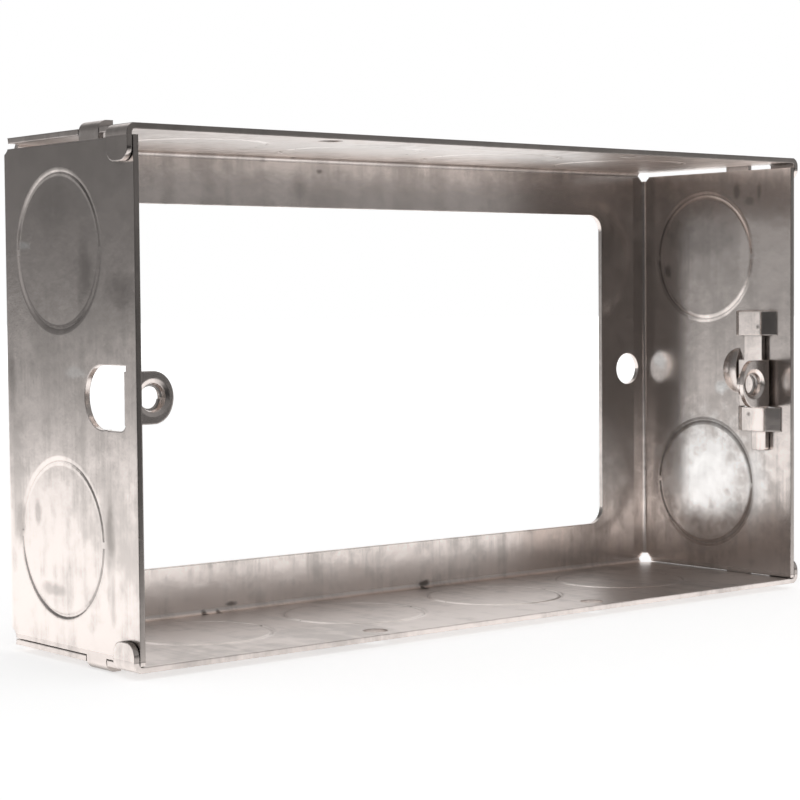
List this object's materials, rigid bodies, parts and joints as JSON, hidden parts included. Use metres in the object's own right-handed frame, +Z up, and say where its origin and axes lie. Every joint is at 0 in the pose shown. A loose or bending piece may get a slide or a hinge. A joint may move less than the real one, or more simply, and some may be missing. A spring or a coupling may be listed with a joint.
{
  "type": "flush extension box",
  "caption": "Open-backed two-gang extension box folded from galvanised sheet, with knockouts, a fixed screw lug and a sliding one.",
  "frame": {"origin": "middle of the line between the two back fixing holes, on the outer face of the back frame", "axes": "+X along the long walls towards the sliding lug, +Y backwards out of the back face, +Z up across the long walls"},
  "size_m": [0.1328, 0.035, 0.0738],
  "materials": {
    "galvanised_sheet": "dull galvanised sheet with faint streaks",
    "lug_sheet": "dull galvanised sheet, darker in the folds"
  },
  "bodies": {
    "box": {"extension_box": "galvanised_sheet"},
    "lug": {"adjustable_lug": "lug_sheet"}
  },
  "joints": [
    {"name": "lug_slide", "type": "slide", "parent": "box", "child": "lug", "axis": [0, 0, 1], "range_m": [0, 0.0041]}
  ]
}
